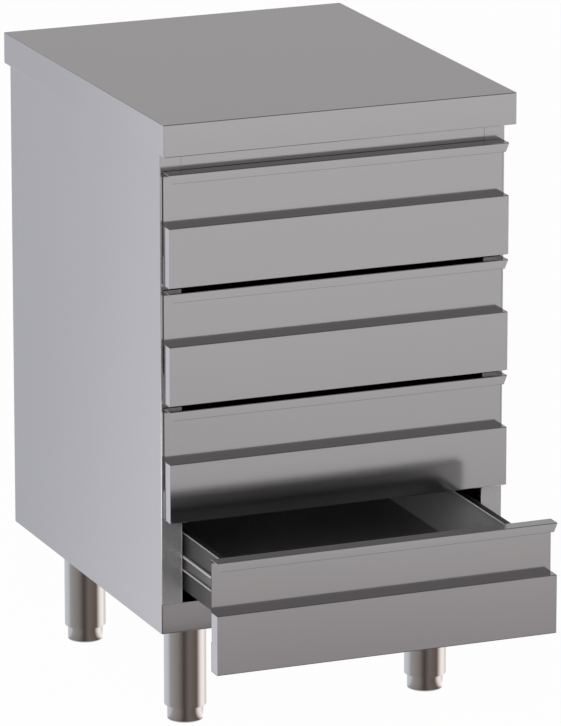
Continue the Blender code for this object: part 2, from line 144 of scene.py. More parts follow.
# %% [markdown]
# Sheet metal never has a knife edge: a press leaves a small round on every fold and a deburred rim.
# `finish_edges` gives each finished piece that hair-fine round, which is what catches the light.
# Smooth shading alone would bend the light on the big flats near their folds, so `dress` weights each
# corner's normal by the size of its faces: the flats stay dead flat and only the bends turn.
# What repeats is modelled once, and `one_of` copies it to its other places.

# %% Edges, marks and copies
EDGE_BREAK = 0.00025
SHARP_ANGLE = math.radians(50)
SQUARE_TO_AXIS = 0.995


def finish_edges(piece, edge_break=EDGE_BREAK):
    """Round the sharp edges by a hair and shade the piece smooth."""
    apply_modifier(piece, "BEVEL", width=edge_break, segments=2, limit_method="ANGLE",
                   angle_limit=SHARP_ANGLE, use_clamp_overlap=True)
    smooth(piece)
    return piece


def mark(piece, name, share):
    """Write an attribute on the faces: share turns a face into a number from 0 to 1."""
    marks = piece.data.attributes.new(name, "FLOAT", "FACE")
    marks.data.foreach_set("value", [float(share(face)) for face in piece.data.polygons])


def is_bent(face):
    """A face on a fold or on a rounded rim looks along no axis."""
    return max(abs(part) for part in face.normal) < SQUARE_TO_AXIS


def copy_of(piece, name, shift=(0.0, 0.0, 0.0), mirrored=False):
    """A copy with a mesh of its own, moved in its mesh; a mirrored one is turned right side out."""
    twin = piece.copy()
    twin.data = piece.data.copy()
    twin.name = name
    bpy.context.scene.collection.objects.link(twin)
    if mirrored:
        twin.data.transform(Matrix.Scale(-1.0, 4, (1.0, 0.0, 0.0)))
        twin.data.flip_normals()
    twin.data.transform(Matrix.Translation(shift))
    return twin


def one_of(piece, name, shift, mirrored=False):
    """The modelled piece itself under its own name, and a copy of it under any other."""
    return piece if piece.name == name else copy_of(piece, name, shift, mirrored)


def dress(piece, finish, slot, body, *replaced):
    """Give a piece its shading, finish, its body and the CAD nodes it stands for; slot is not used."""
    apply_modifier(piece, "WEIGHTED_NORMAL", mode="FACE_AREA", weight=50, keep_sharp=True)
    piece.data.materials.clear()
    piece.data.materials.append(finish)
    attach(piece, body)
    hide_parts(*replaced)


print("edge break", EDGE_BREAK * 1000, "mm")

# %% [markdown]
# ## Shader maths
# A finish is a small sum: a base value, plus grain, plus smudges. Written as Python arithmetic it
# stays readable, so this class wraps a socket and lets `+`, `-` and `*` add the Math nodes.
# `node` adds any other node: settings first, then the values or links of its sockets.

# %% A socket that can do sums
def set_stops(ramp, stops):
    """Fill a colour ramp from (position, colour) pairs in rising order."""
    ends = (stops[0], stops[-1])
    for element, (position, colour) in zip(ramp.elements, ends):
        element.position = position
        element.color = colour
    for position, colour in stops[1:-1]:
        ramp.elements.new(position).color = colour


class Wire:
    """A socket in a node tree, or with no socket yet, a pen that draws the tree's nodes."""

    def __init__(self, tree, socket=None):
        self.tree = tree
        self.socket = socket

    def node(self, kind, settings=None, inputs=None, output=0):
        made = self.tree.nodes.new(kind)
        for name, value in (settings or {}).items():
            if name == "stops":
                set_stops(made.color_ramp, value)
            else:
                setattr(made, name, value)
        for name, value in (inputs or {}).items():
            if isinstance(value, Wire):
                self.tree.links.new(value.socket, made.inputs[name])
            else:
                made.inputs[name].default_value = value
        return Wire(self.tree, made.outputs[output])

    def sum_of(self, operation, first, second):
        return self.node("ShaderNodeMath", {"operation": operation}, {0: first, 1: second})

    def __add__(self, other):
        return self.sum_of("ADD", self, other)

    def __radd__(self, other):
        return self.sum_of("ADD", other, self)

    def __sub__(self, other):
        return self.sum_of("SUBTRACT", self, other)

    def __rsub__(self, other):
        return self.sum_of("SUBTRACT", other, self)

    def __mul__(self, other):
        return self.sum_of("MULTIPLY", self, other)

    def __rmul__(self, other):
        return self.sum_of("MULTIPLY", other, self)

    def feed(self, shader, name):
        self.tree.links.new(self.socket, shader.inputs[name])

    def to_surface(self):
        """Let this shader be the surface of a material that has no output yet."""
        self.feed(self.tree.nodes.new("ShaderNodeOutputMaterial"), "Surface")


print("sums of sockets ready")

# %% [markdown]
# A finish on the cabinet starts from Blender's own Principled shader, and the studio's paper and cards
# from an empty tree. Noise, colour blends and the marks that the modelling leaves on faces come back in
# most of them.

# %% Finish helpers
GRAIN_DETAIL = 4.0
CLOUD_DETAIL = 3.0
GRAIN_RELIEF = 0.0004


def new_finish(name):
    """A material, its Principled shader and a wire to draw its nodes with."""
    material = bpy.data.materials.new(name)
    material.use_nodes = True
    shader = material.node_tree.nodes["Principled BSDF"]
    return material, shader, Wire(material.node_tree)


def bare_finish(name):
    """A material with an empty tree, and a wire to draw its nodes with."""
    material, _, pen = new_finish(name)
    material.node_tree.nodes.clear()
    return material, pen


def noise_along(pen, stretch, detail):
    """Noise in object space, stretched: a small number runs long along that axis, a large one is fine."""
    place = pen.node("ShaderNodeTexCoord", output="Object")
    stretched = pen.node("ShaderNodeVectorMath", {"operation": "MULTIPLY"}, {0: place, 1: stretch})
    return pen.node("ShaderNodeTexNoise", inputs={"Vector": stretched, "Scale": 1.0, "Detail": detail})


def blend_colour(pen, factor, first, second):
    return pen.node("ShaderNodeMix", {"data_type": "RGBA"}, {0: factor, 6: first, 7: second}, output=2)


def face_mark(pen, name):
    """The number that the modelling has written on each face."""
    return pen.node("ShaderNodeAttribute", {"attribute_name": name}, output="Fac")


def bump(pen, height, strength, distance):
    return pen.node("ShaderNodeBump", inputs={"Strength": strength, "Distance": distance, "Height": height})


def toned(colour, factor=1.0):
    """A colour made darker or lighter, with its alpha."""
    return tuple(min(channel * factor, 1.0) for channel in colour) + (1.0,)


def grey(tone):
    return (tone, tone, tone, 1.0)


print("finish helpers ready")

# %% [markdown]
# ## Brushed stainless steel
# The sheets are satin stainless: a belt has scratched them all one way, so the gloss is soft and
# faintly streaked along the grain. It could be an image, but noise stretched along one axis does the
# same at any size. Fine streaks vary the roughness and a very shallow bump; a broad, weak cloud adds
# the rolling marks and hand smudges that keep a large sheet from looking printed. Faces that the
# modelling marks as cut edges take a far darker tone: painted shade, the shadow lines under a flap and
# beside a panel's ends. Other marked faces take a share of plain pale metal: painted light and highlights.

# %% The steel finishes
ALONG_X = (8.0, 1400.0, 1400.0)
ALONG_Y = (1400.0, 8.0, 1400.0)
BROAD_CLOUD = (5.0, 5.0, 5.0)
SATIN_SPREAD = 0.03
CUT_EDGE_SHADE_TONE = 0.25
PAINTED_LIGHT_METAL = (0.76, 0.75, 0.75, 1.0)
STEEL_COLOUR = (0.500, 0.494, 0.497)


def brushed_steel(name, colour, roughness, grain_stretch, streak=0.05, smudge=0.03, relief=0.035):
    material, shader, pen = new_finish(name)
    grain = noise_along(pen, grain_stretch, GRAIN_DETAIL)
    cloud = noise_along(pen, BROAD_CLOUD, CLOUD_DETAIL)
    cut = face_mark(pen, "cut_edge")
    rubbed = face_mark(pen, "rubbed")
    satin = blend_colour(pen, 0.7 * grain + 0.3 * cloud,
                         toned(colour, 1.0 - SATIN_SPREAD), toned(colour, 1.0 + SATIN_SPREAD))
    # Painted shade: marked cut edges turn far darker.
    shaded_satin = blend_colour(pen, cut, satin, toned(colour, CUT_EDGE_SHADE_TONE))
    # Painted light: marked faces turn into pale, rough metal that the lamp lights.
    blend_colour(pen, rubbed, shaded_satin, PAINTED_LIGHT_METAL).feed(shader, "Base Color")
    gloss = roughness + (grain - 0.5) * streak + (cloud - 0.5) * smudge
    (gloss + 0.6 * rubbed).feed(shader, "Roughness")
    (1.0 - 0.8 * rubbed).feed(shader, "Metallic")
    bump(pen, grain, relief, GRAIN_RELIEF).feed(shader, "Normal")
    return material


front_steel = brushed_steel("front_steel", STEEL_COLOUR, 0.12, ALONG_X)
top_steel = brushed_steel("top_steel", STEEL_COLOUR, 0.12, ALONG_X)
side_steel = brushed_steel("side_steel", STEEL_COLOUR, 0.15, ALONG_Y)
print("steels:", front_steel.name, top_steel.name, side_steel.name)

# %% [markdown]
# Inside, nothing is polished. The trays and the slides keep the dull grey of rolled sheet; the trays'
# grey is near black, painted shade. Their folds, hooks and rims and the trays' inside faces take a pale,
# rough metal that the lamp lights: painted highlights and painted light. The modelling marks those faces
# with an attribute, and this finish reads it.

# %% Dull sheet with rubbed edges
CLOSE_CLOUD = (14.0, 14.0, 14.0)
DULL_SPREAD = 0.10
DULL_UNEVENNESS = 0.10
DULL_RELIEF = 0.03


def rolled_sheet(name, colour, painted_light_colour, roughness, grain_stretch):
    material, shader, pen = new_finish(name)
    grain = noise_along(pen, grain_stretch, GRAIN_DETAIL)
    cloud = noise_along(pen, CLOSE_CLOUD, CLOUD_DETAIL)
    rubbed = face_mark(pen, "rubbed")
    dull = blend_colour(pen, 0.4 * grain + 0.6 * cloud,
                        toned(colour, 1.0 - DULL_SPREAD), toned(colour, 1.0 + DULL_SPREAD))
    # Painted light: marked faces turn into pale, rough metal that the lamp lights.
    blend_colour(pen, rubbed, dull, toned(painted_light_colour)).feed(shader, "Base Color")
    uneven = (grain - 0.5) * DULL_UNEVENNESS + (cloud - 0.5) * DULL_UNEVENNESS
    (roughness + uneven).feed(shader, "Roughness")
    (0.40 - 0.20 * rubbed).feed(shader, "Metallic")
    bump(pen, grain, DULL_RELIEF, GRAIN_RELIEF).feed(shader, "Normal")
    return material


# The trays' near-black grey is painted shade.
tray_steel = rolled_sheet("tray_steel", (0.030, 0.030, 0.030), (0.95, 0.94, 0.94), 0.42, ALONG_Y)
slide_zinc = rolled_sheet("slide_zinc", (0.180, 0.178, 0.176), (0.76, 0.75, 0.74), 0.36, ALONG_Y)
print("dull sheets:", tray_steel.name, slide_zinc.name)

# %% [markdown]
# The legs are drawn tube, polished after drawing, so they are glossier and any mark runs up the tube.
# The feet are turned: their marks run round, which here means fine in Z and long across.
# The screws and the ball cages are bright zinc: a greyer metal, cloudy rather than streaked.

# %% Tube, foot and zinc finishes
UP_THE_TUBE = (500.0, 500.0, 6.0)
ROUND_THE_FOOT = (20.0, 20.0, 3000.0)
ALL_WAYS = (700.0, 700.0, 700.0)
tube_steel = brushed_steel("tube_steel", (0.560, 0.545, 0.540), 0.11, UP_THE_TUBE,
                           streak=0.05, smudge=0.04, relief=0.015)
foot_steel = brushed_steel("foot_steel", (0.540, 0.525, 0.520), 0.14, ROUND_THE_FOOT,
                           streak=0.08, smudge=0.04, relief=0.03)
screw_zinc = brushed_steel("screw_zinc", (0.520, 0.520, 0.530), 0.34, ALL_WAYS,
                           streak=0.12, smudge=0.10, relief=0.02)
print("small finishes:", tube_steel.name, foot_steel.name, screw_zinc.name)

# %% [markdown]
# The board under the worktop is raw chipboard: pale flakes in a brown glue, with no gloss at all.
# Cells from a Voronoi texture make the flakes, and each cell takes its own tone.

# %% Core board finish
FLAKES_PER_METRE = 220.0
FLAKE_RELIEF = 0.0005
DARK_FLAKE = (0.24, 0.15, 0.08, 1.0)
PALE_FLAKE = (0.52, 0.38, 0.23, 1.0)
core_board, board_shader, board_pen = new_finish("core_board")
board_place = board_pen.node("ShaderNodeTexCoord", output="Object")
flakes = board_pen.node("ShaderNodeTexVoronoi", output="Color",
                        inputs={"Vector": board_place, "Scale": FLAKES_PER_METRE})
flake_tone = board_pen.node("ShaderNodeSeparateColor", inputs={"Color": flakes})
blend_colour(board_pen, flake_tone, DARK_FLAKE, PALE_FLAKE).feed(board_shader, "Base Color")
(0.75 + flake_tone * 0.2).feed(board_shader, "Roughness")
bump(board_pen, flake_tone, 0.3, FLAKE_RELIEF).feed(board_shader, "Normal")
print("board finish:", core_board.name)

# %% [markdown]
# ## Pans folded from one blank
# The worktop and the drawer trays are made alike: a flat blank with its four sides folded and a
# narrow rim folded again at the mouth. By hand: start from a block of the outer size, inset the mouth
# face by the rim's width, delete what is left of it, round the folds and give the skin its thickness.

# %% Fold a pan
BEND_STEPS = 4
FOLDED = math.radians(30)


def fold_angle(edge):
    """How sharply the two faces at an edge meet; an open rim counts as flat."""
    return edge.calc_face_angle() if len(edge.link_faces) == 2 else 0.0


def fold_pan(name, low, high, mouth, rim, sheet, radius, hem=0.0):
    """A pan that fills a box; mouth is 1 for open upwards and -1 for open downwards.

    A hem turns in the rim's edge.
    """
    clear_selection()
    bpy.ops.mesh.primitive_cube_add(size=1.0, location=(low + high) / 2)
    pan = place_new(name, high - low)
    bpy.ops.object.mode_set(mode="EDIT")
    pick(pan, "FACE", lambda face, middle: face.normal.z * mouth > FACING)
    bpy.ops.mesh.inset(thickness=rim)
    bpy.ops.mesh.delete(type="FACE")
    if hem:
        pick(pan, "EDGE", lambda edge, middle: len(edge.link_faces) == 1)
        extrude((0.0, 0.0, -mouth * hem))
    pick(pan, "EDGE", lambda edge, middle: fold_angle(edge) > FOLDED)
    bpy.ops.mesh.bevel(offset=radius, segments=BEND_STEPS, affect="EDGES")
    apply_modifier(pan, "SOLIDIFY", thickness=sheet, offset=-1.0, use_even_offset=True)
    return finish_edges(pan)


print("pan helper ready")

# %% [markdown]
# The worktop is a pan that opens downwards. Its skirt is the band you see from the front, and the rim
# is a wide return under the edge, which the screws from the rails go into.

# %% The worktop
SHEET = 0.0012
WORKTOP_RETURN = 0.055
WORKTOP_BEND = 0.0013
worktop = fold_pan("worktop_sheet", *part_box("worktop"), -1, WORKTOP_RETURN, SHEET, WORKTOP_BEND)
dress(worktop, top_steel, "steel", "cabinet", "worktop")
print("worktop faces:", len(worktop.data.polygons))

# %% [markdown]
# ## Strips folded along a path
# Sides, rails, base, drawer fronts and slides are all strips: one cross-section, pulled along an axis.
# A brake folds them line by line, and so does this helper. It scribes one line, extrudes it from
# corner to corner, rounds each corner to the bend radius and thickens the skin about its middle.
# Drawing the section as a curve would work too, but extruding keeps every flat a single clean face.

# %% Fold a strip
def in_space(axis, run, first, second):
    """A point of a section: the strip runs along one axis, the section uses the other two in order."""
    return {"X": (run, first, second), "Y": (first, run, second), "Z": (first, second, run)}[axis]


def in_section(axis, spot):
    return {"X": (spot.y, spot.z), "Y": (spot.x, spot.z), "Z": (spot.x, spot.y)}[axis]


def tangent_length(before, corner, after, radius):
    """How far from a corner its round starts."""
    a = math.atan2(before[1] - corner[1], before[0] - corner[0])
    b = math.atan2(after[1] - corner[1], after[0] - corner[0])
    opening = abs((b - a + math.pi) % math.tau - math.pi)
    return radius / math.tan(opening / 2)


def fold_strip(name, corners, axis, start, end, sheet, radius,
               trim=None, edge_break=EDGE_BREAK, rounded=None):
    """A strip with a section's corners that runs along an axis from start to end.

    trim may cut the flat faces before the folds are rounded. A test on (corner number, middle) can
    pick the fold lines that get a round; without it all do.
    """
    clear_selection()
    upright = (math.pi / 2, 0.0, 0.0) if axis == "Z" else (0.0, 0.0, 0.0)
    bpy.ops.mesh.primitive_plane_add(size=1.0, rotation=upright)
    strip = place_new(name)
    bpy.ops.object.mode_set(mode="EDIT")
    bpy.ops.mesh.select_mode(type="VERT")
    bpy.ops.mesh.select_all(action="SELECT")
    bpy.ops.transform.resize(value=in_space(axis, end - start, 0.0, 0.0))
    bpy.ops.mesh.remove_doubles(threshold=TOUCH)
    bpy.ops.transform.translate(value=in_space(axis, (start + end) / 2, *corners[0]))
    for before, after in zip(corners, corners[1:]):
        extrude(in_space(axis, 0.0, after[0] - before[0], after[1] - before[1]))
    if trim:
        trim(strip)
    for number, (before, corner, after) in enumerate(zip(corners, corners[1:], corners[2:]), 1):
        pick(strip, "EDGE", lambda edge, middle: len(edge.link_faces) == 2
             and math.dist(in_section(axis, middle), corner) < TOUCH
             and (rounded is None or rounded(number, middle)))
        reach = tangent_length(before, corner, after, radius)
        bpy.ops.mesh.bevel(offset=reach, segments=BEND_STEPS, affect="EDGES", clamp_overlap=False)
    bpy.ops.mesh.select_all(action="SELECT")
    bpy.ops.mesh.normals_make_consistent(inside=False)
    apply_modifier(strip, "SOLIDIFY", thickness=sheet, offset=0.0, use_even_offset=True)
    return finish_edges(strip, edge_break)


print("strip helper ready")

# %% [markdown]
# ## The carcass
# The frame knows how large the body is: the right side's box gives its width, depth and height and the
# opening between the stiles, and the base gives the bottom rail. The sections below run along the
# middle of the metal, half a sheet inside these sizes.

# %% Sizes of the body
HALF_SHEET = SHEET / 2
BEND_RADIUS = 0.0007
side_low, side_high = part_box("side_panel_right")
OPENING_HALF_WIDTH, BODY_FRONT, BODY_BOTTOM = side_low
BODY_HALF_WIDTH, BODY_BACK, BODY_TOP = side_high
base_low, base_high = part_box("base_pan")
RAIL_TOP = base_high.z
stile_middle = OPENING_HALF_WIDTH + HALF_SHEET
side_middle = BODY_HALF_WIDTH - HALF_SHEET
front_middle = BODY_FRONT + HALF_SHEET
back_middle = BODY_BACK - HALF_SHEET
print("body half width", round(BODY_HALF_WIDTH, 4), "from", round(BODY_BOTTOM, 4), "to", round(BODY_TOP, 4))

# %% [markdown]
# Each side is one sheet: a return and a stile at the front, the plain side, a flange at the back.
# Below the stile the bottom rail runs past, so that corner of the sheet is cut away before folding:
# bisect across the strip, then delete the stile's faces under the cut. A second bisect sets how high the
# stile carries painted light: below it a share of the stile's face is painted pale and the inner fold is
# rounded and painted as a bright highlight, above it the fold is sharp, so that stile and top rail meet in
# one plane.

# %% Side panels
STILE_RETURN = 0.012
STILE_GAP = 0.00005
STILE_BOTTOM = RAIL_TOP + STILE_GAP
BACK_FLANGE = 0.020
PAINTED_STILE_TOP = 0.3115
STILE_LIGHT_SHARE = 0.22
FOLD_ZONE = 0.002


def on_stile(face, middle):
    return middle.y < BODY_FRONT + STILE_RETURN and abs(middle.x) < BODY_HALF_WIDTH - SHEET


def bisect_at(height):
    """Cut the selected faces across, level."""
    bpy.ops.mesh.bisect(plane_co=(0.0, 0.0, height), plane_no=(0.0, 0.0, 1.0))


def cut_stile(strip):
    bpy.ops.mesh.select_all(action="SELECT")
    bisect_at(STILE_BOTTOM)
    pick(strip, "FACE", lambda face, middle: middle.z < STILE_BOTTOM and on_stile(face, middle))
    bpy.ops.mesh.delete(type="FACE")
    pick(strip, "FACE", on_stile)
    bisect_at(PAINTED_STILE_TOP)


def stile_light_share(face):
    """Painted light below that height: a little on the stile's face, a bright painted highlight on the inner
    fold.
    """
    spot = face.center
    behind = spot.y > BODY_FRONT + FOLD_ZONE
    outside = spot.x > BODY_HALF_WIDTH - FOLD_ZONE
    if spot.z > PAINTED_STILE_TOP or behind or outside:
        return 0.0
    if is_bent(face) and spot.x < OPENING_HALF_WIDTH + FOLD_ZONE:
        return 1.0
    return STILE_LIGHT_SHARE * (face.normal.y < -FACING)


side_section = [(stile_middle, BODY_FRONT + STILE_RETURN), (stile_middle, front_middle),
                (side_middle, front_middle), (side_middle, back_middle),
                (BODY_HALF_WIDTH - BACK_FLANGE, back_middle)]
side_right = fold_strip("side_sheet_right", side_section, "Z", BODY_BOTTOM, BODY_TOP, SHEET, BEND_RADIUS,
                        trim=cut_stile, rounded=lambda number, middle: number != 1 or middle.z < PAINTED_STILE_TOP)
# Painted light on the stile's lower face and a painted highlight on its inner fold.
mark(side_right, "rubbed", stile_light_share)
side_left = copy_of(side_right, "side_sheet_left", mirrored=True)
dress(side_right, side_steel, "steel", "cabinet", "side_panel_right")
dress(side_left, side_steel, "steel", "cabinet", "side_panel_left")
print("side faces:", len(side_right.data.polygons))

# %% [markdown]
# The base is one strip too: the bottom rail you see under the drawers, the floor, a rear upstand.
# The front top rail is a shallow channel; its face is the light band between worktop and drawers.

# %% Base and front top rail
base_back = base_high.y - HALF_SHEET
floor_middle = BODY_BOTTOM + HALF_SHEET
base_section = [(front_middle, RAIL_TOP), (front_middle, floor_middle),
                (base_back, floor_middle), (base_back, RAIL_TOP)]
base = fold_strip("base_sheet", base_section, "X", base_low.x, base_high.x, SHEET, BEND_RADIUS)
dress(base, front_steel, "steel", "cabinet", "base_pan")

rail_low, rail_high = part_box("front_top_rail")
rail_top = rail_high.z - HALF_SHEET
rail_bottom = rail_low.z + HALF_SHEET
rail_section = [(rail_high.y, rail_top), (front_middle, rail_top),
                (front_middle, rail_bottom), (rail_high.y, rail_bottom)]
rail = fold_strip("top_rail_front", rail_section, "X", rail_low.x, rail_high.x, SHEET, BEND_RADIUS)
dress(rail, front_steel, "steel", "cabinet", "front_top_rail")
print("base and rail folded")

# %% [markdown]
# ## Drawer fronts
# The front is the cabinet's face: a pull lip with a short flap folded down, a recessed panel that makes
# room for the fingers, and a step that stands out as far as the lip. One strip gives all of it, with
# the flap's two lower corners pulled in before the folds are rounded.

# %% One drawer front
LIP_DEPTH = 0.0208
LIP_FLAP = 0.0123
LIP_TAPER = 0.0048
LIP_TO_STEP = 0.0717
FRONT_FLANGE = 0.040
FRONT_EDGE = 0.0005
front_low, front_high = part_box("drawer_front_1")
FRONT_HEIGHT = front_high.z - front_low.z
panel_y = front_low.y + LIP_DEPTH
lip_top = front_high.z

lip_face = -LIP_DEPTH + HALF_SHEET
step_top = -LIP_TO_STEP - HALF_SHEET
step_bottom = -FRONT_HEIGHT + HALF_SHEET
front_section = [(lip_face, -LIP_FLAP), (lip_face, -HALF_SHEET), (HALF_SHEET, -HALF_SHEET),
                 (HALF_SHEET, step_top), (lip_face, step_top), (lip_face, step_bottom),
                 (HALF_SHEET, step_bottom), (HALF_SHEET, step_bottom + FRONT_FLANGE)]
front_section = [(panel_y + y, lip_top + z) for y, z in front_section]


def taper_flap(strip):
    """Pull in the two lower corners of the lip's flap."""
    for side in (-1, 1):
        pick(strip, "VERT", lambda corner, middle: middle.x * side > 0.0
             and math.dist((middle.y, middle.z), front_section[0]) < TOUCH)
        bpy.ops.transform.translate(value=(-side * LIP_TAPER, 0.0, 0.0))


front = fold_strip("drawer_face_1", front_section, "X", front_low.x, front_high.x, SHEET, BEND_RADIUS,
                   trim=taper_flap, edge_break=FRONT_EDGE)
print("front faces:", len(front.data.polygons))

# %% [markdown]
# Two small plates close the step's ends; they are let in just inside the sheet's edge and joined on.
# The back of the sheet is painted pale, painted light that brightens its reflection in the step above.
# The flap's lower edge and the ends of the recessed panel are cut edges, painted far darker: painted
# shade for the shadow lines under the flap and beside the panel.

# %% Its end plates and marks
PLATE_INSET = 0.0003
PLATE_EDGE = 0.0001
CUT_ZONE = 0.0007
PANEL_ZONE = 0.0002
FLAP_SHADE = 0.73
BACK_SHARE = 0.7
flap_edge = lip_top - LIP_FLAP

clear_selection()
bpy.ops.mesh.primitive_cube_add(size=1.0, location=(front_high.x - PLATE_INSET - HALF_SHEET,
                                                    panel_y - LIP_DEPTH / 2 + HALF_SHEET,
                                                    lip_top - (LIP_TO_STEP + FRONT_HEIGHT) / 2))
right_plate = place_new("right_plate", (SHEET, LIP_DEPTH - SHEET, FRONT_HEIGHT - LIP_TO_STEP - SHEET))
finish_edges(right_plate, PLATE_EDGE)
join_to(front, [right_plate, copy_of(right_plate, "left_plate", mirrored=True)])


def cut_edge_shade_share(face):
    """Painted shade: most of it at the flap's lower edge, and all of it at the ends of the recessed panel.
    """
    spot = face.center
    if spot.y < panel_y - LIP_DEPTH / 2 and abs(spot.z - flap_edge) < CUT_ZONE:
        return FLAP_SHADE
    on_panel = spot.y > panel_y - PANEL_ZONE and lip_top - LIP_TO_STEP < spot.z < lip_top - SHEET
    return float(on_panel and abs(face.normal.x) > LEANING)


# Painted shade on the cut edges, and painted light on the sheet's back.
mark(front, "cut_edge", cut_edge_shade_share)
mark(front, "rubbed", lambda face: BACK_SHARE * (face.normal.y > FACING))
print("front with end plates:", len(front.data.polygons))

# %% [markdown]
# The front is modelled once, at the top drawer, and copied down the stack. The frame gives the pitch,
# and how far the lowest drawer stands drawn out.

# %% Four fronts
DRAWER_COUNT = 4
FRONT_PITCH = front_high.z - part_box("drawer_front_2")[1].z
REST_OPENING = front_low.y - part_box("drawer_front_4")[0].y


def drawer_shift(index):
    """From the top drawer to another; the lowest one stands drawn out."""
    opening = REST_OPENING if index == DRAWER_COUNT - 1 else 0.0
    return (0.0, -opening, -FRONT_PITCH * index)


drawers = [(str(index + 1), drawer_shift(index)) for index in range(DRAWER_COUNT)]
for number, shift in drawers:
    face = one_of(front, "drawer_face_" + number, shift)
    dress(face, front_steel, "steel", "drawer_" + number, "drawer_front_" + number)
print("fronts placed, pitch", round(FRONT_PITCH, 4), "lowest one out by", round(REST_OPENING, 4))

# %% [markdown]
# ## Trays
# Behind each front hangs a tray, a pan like the worktop but the other way up, with a 10 mm rim. The
# rim's inner edge is turned down in a short hem, so that no cut edge meets the hand.

# %% Four trays
TRAY_RIM = 0.010
TRAY_SHEET = 0.0010
TRAY_BEND = 0.0011
TRAY_HEM = 0.0022
RIM_ZONE = TRAY_HEM + 0.0005
HEM_FACING = 0.6
RIM_FOLD_SHARE = 0.65
OUTSIDE_SHARE = 0.07
FLOOR_SHARE = 0.20
FRONT_WALL_SHARE = 0.80
WALL_SHARE = 0.56
tray_low, tray_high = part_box("drawer_tray_1")
tray_middle = (tray_low + tray_high) / 2
tray = fold_pan("drawer_pan_1", tray_low, tray_high, 1, TRAY_RIM, TRAY_SHEET, TRAY_BEND, TRAY_HEM)


def tray_light_share(face):
    """Painted highlights on the rim's folds and hem, painted light on the inside walls, floor and front
    wall, near-black painted shade outside and on the rim.
    """
    if face.center.z > tray_high.z - RIM_ZONE:
        at_hem = abs(face.center.x) < tray_high.x - TRAY_RIM / 2
        return float(abs(face.normal.x) > HEM_FACING) if at_hem else RIM_FOLD_SHARE * is_bent(face)
    if face.normal.dot(face.center - tray_middle) > 0.0:
        return OUTSIDE_SHARE
    if face.normal.z > FACING:
        return FLOOR_SHARE
    return FRONT_WALL_SHARE if face.normal.y > FACING else WALL_SHARE


# Painted light and painted highlights on the tray.
mark(tray, "rubbed", tray_light_share)
for number, shift in drawers:
    pan = one_of(tray, "drawer_pan_" + number, shift)
    dress(pan, tray_steel, "steel", "drawer_" + number, "drawer_tray_" + number)
print("tray faces:", len(tray.data.polygons))

# %% [markdown]
# ## Slides
# A ball-bearing slide is two channels, one inside the other, with a cage of balls between them.
# The drawer's channel shows on the open drawer as two bright edges with a dark groove: its flanges end
# in short hooks, which stiffen it, and the hooks and folds carry painted highlights.

# %% Channels of the slides
SLIDE_BEND = 0.0009
SLIDE_HOOK = 0.0020
SIDES = (("right", False), ("left", True))


def fold_channel(name, node, web_side, hook=0.0):
    """A channel lying on its side that fills a CAD node's box; the web is at its low or high X."""
    low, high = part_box(node)
    outwards = 1 if web_side == "low" else -1
    web = (low.x if web_side == "low" else high.x) + outwards * HALF_SHEET
    lip = high.x if web_side == "low" else low.x
    top = high.z - HALF_SHEET
    bottom = low.z + HALF_SHEET
    section = [(web, top), (web, bottom)]
    if hook:
        lip = lip - outwards * HALF_SHEET
        section = [(lip, top - hook), (lip, top), *section, (lip, bottom), (lip, bottom + hook)]
    else:
        section = [(lip, top), *section, (lip, bottom)]
    return fold_strip(name, section, "Y", low.y, high.y, SHEET, SLIDE_BEND)


inner = fold_channel("slide_drawer_right_1", "slide_inner_right_1", "low", SLIDE_HOOK)
outer = fold_channel("slide_cabinet_right_1", "slide_outer_right_1", "high")
hook_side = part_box("slide_inner_right_1")[1].x - SHEET
# Painted highlights on the hooks and upward folds of the drawer's channel, and on the folds of the cabinet's
# channel.
mark(inner, "rubbed", lambda face: face.center.x > hook_side
     or (is_bent(face) and face.normal.z > LEANING))
mark(outer, "rubbed", is_bent)
for number, drawn in drawers:
    fixed = (0.0, 0.0, drawn[2])
    for side, mirrored in SIDES:
        place = side + "_" + number
        on_drawer = one_of(inner, "slide_drawer_" + place, drawn, mirrored)
        on_cabinet = one_of(outer, "slide_cabinet_" + place, fixed, mirrored)
        dress(on_drawer, slide_zinc, "slide_steel", "drawer_" + number, "slide_inner_" + place)
        dress(on_cabinet, slide_zinc, "slide_steel", "cabinet", "slide_outer_" + place)
print("slides placed:", 2 * len(drawers) * len(SIDES))

# %% [markdown]
# The cage is a thin strip bent like a long tray, with a row of steel balls in each flange. One ball is
# modelled from a sphere, copied along both rows and joined to the strip. There are nearly two hundred
# balls in all, so a ball has few faces. The cage rolls half as far as its drawer.

# %% Ball cages
CAGE_SHEET = 0.0006
CAGE_BEND = 0.0008
BALL_RADIUS = 0.0023
BALL_STEP = 0.0121
BALL_INSET = 0.0026
BALL_ROW_INSET = 0.0032
cage_low, cage_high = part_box("ball_cage_right_1")
cage_lip = cage_low.x + 0.0020
cage_web = cage_high.x - 0.0005
cage_top = cage_high.z - 0.0004
cage_bottom = cage_low.z + 0.0004
cage_section = [(cage_lip, cage_top), (cage_web, cage_top), (cage_web, cage_bottom), (cage_lip, cage_bottom)]
cage = fold_strip("ball_strip_right_1", cage_section, "Y", cage_low.y, cage_high.y, CAGE_SHEET, CAGE_BEND)

